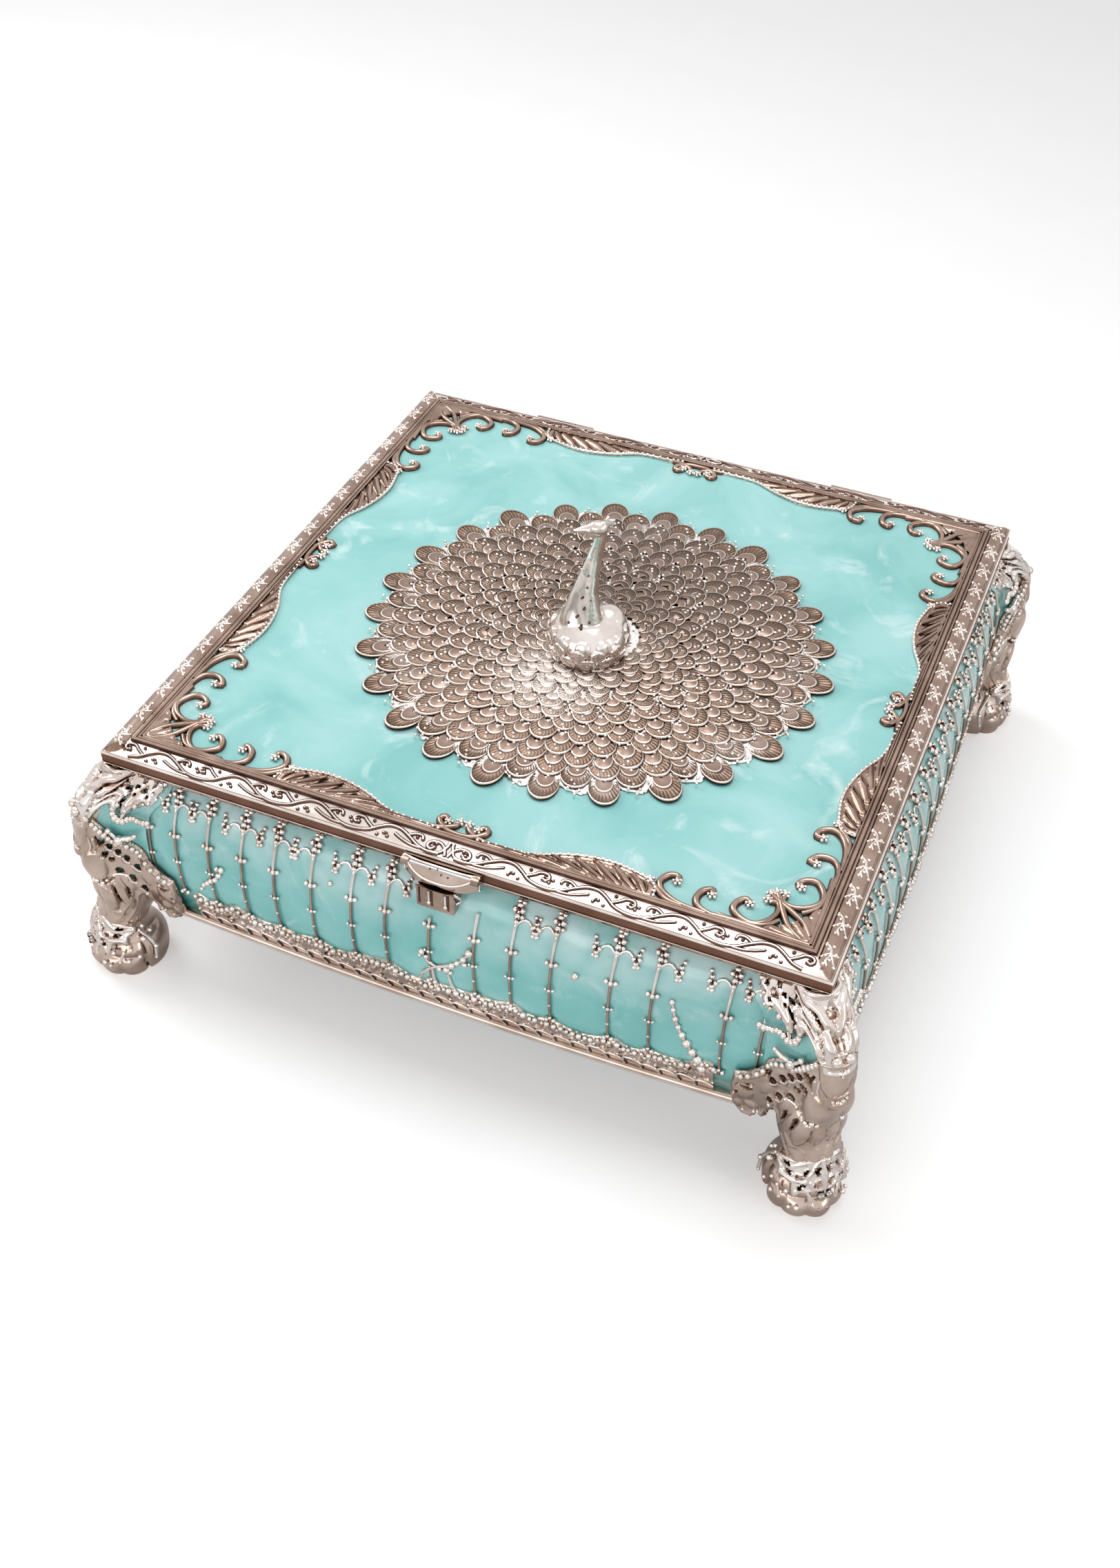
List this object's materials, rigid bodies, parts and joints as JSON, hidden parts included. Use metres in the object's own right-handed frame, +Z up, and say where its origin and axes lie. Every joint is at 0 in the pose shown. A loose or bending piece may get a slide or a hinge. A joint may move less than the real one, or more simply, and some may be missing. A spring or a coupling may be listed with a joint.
{
  "type": "footed keepsake casket",
  "caption": "Square footed keepsake casket with bowed enamel walls, lion-paw corner legs, a hinged lid with feather rosette and bird finial, and a front clasp.",
  "frame": {"origin": "on the ground plane under the paws, midway between all four legs", "axes": "+Z up, -Y out of the front wall with the clasp, +X to the right seen from the front; the hinges are at +Y"},
  "size_m": [0.2288, 0.2288, 0.1278],
  "materials": {
    "rose_plate": "rose-tinted silver plate on cast white metal, polished with dark creases",
    "bright_plate": "bright polished silver plate",
    "enamel": "glossy pearl turquoise enamel on metal",
    "velvet": "short pile velvet over board",
    "steel": "plain sheet and fasteners"
  },
  "bodies": {
    "base": {"floor_plate": "steel", "mouth_frame": "rose_plate", "floor_lining": "velvet", "front_wall": "enamel", "front_leaf_band": "rose_plate", "front_bottom_rail": "rose_plate", "front_wall_lining": "velvet", "right_wall": "enamel", "right_leaf_band": "rose_plate", "right_bottom_rail": "rose_plate", "right_wall_lining": "velvet", "back_wall": "enamel", "back_leaf_band": "rose_plate", "back_bottom_rail": "rose_plate", "back_wall_lining": "velvet", "left_wall": "enamel", "left_leaf_band": "rose_plate", "left_bottom_rail": "rose_plate", "left_wall_lining": "velvet", "front_left_leg": "rose_plate", "front_left_leg_screw": "steel", "front_right_leg": "rose_plate", "front_right_leg_screw": "steel", "back_right_leg": "rose_plate", "back_right_leg_screw": "steel", "back_left_leg": "rose_plate", "back_left_leg_screw": "steel", "clasp_keeper": "rose_plate", "left_hinge_base_leaf": "rose_plate", "left_hinge_pin": "steel", "right_hinge_base_leaf": "rose_plate", "right_hinge_pin": "steel"},
    "lid": {"lid_frame": "rose_plate", "lid_backing_plate": "steel", "lid_enamel_panel": "enamel", "lid_lining": "velvet", "feather_rosette": "rose_plate", "front_left_scroll": "rose_plate", "front_right_scroll": "rose_plate", "back_right_scroll": "rose_plate", "back_left_scroll": "rose_plate", "front_scroll": "rose_plate", "right_scroll": "rose_plate", "back_scroll": "rose_plate", "left_scroll": "rose_plate", "bird_finial": "bright_plate", "finial_washer": "steel", "finial_nut": "steel", "clasp_plate": "rose_plate", "clasp_pin": "steel", "left_hinge_lid_leaf": "rose_plate", "right_hinge_lid_leaf": "rose_plate"},
    "clasp": {"clasp_flap": "rose_plate"}
  },
  "joints": [
    {"name": "lid_hinge", "type": "hinge", "parent": "base", "child": "lid", "pos_m": [0, 0.1044, 0.075], "axis": [-1, 0, 0], "range_deg": [0, 105]},
    {"name": "clasp_hinge", "type": "hinge", "parent": "lid", "child": "clasp", "pos_m": [0, -0.1035, 0.077], "axis": [-1, 0, 0], "range_deg": [0, 100]}
  ]
}
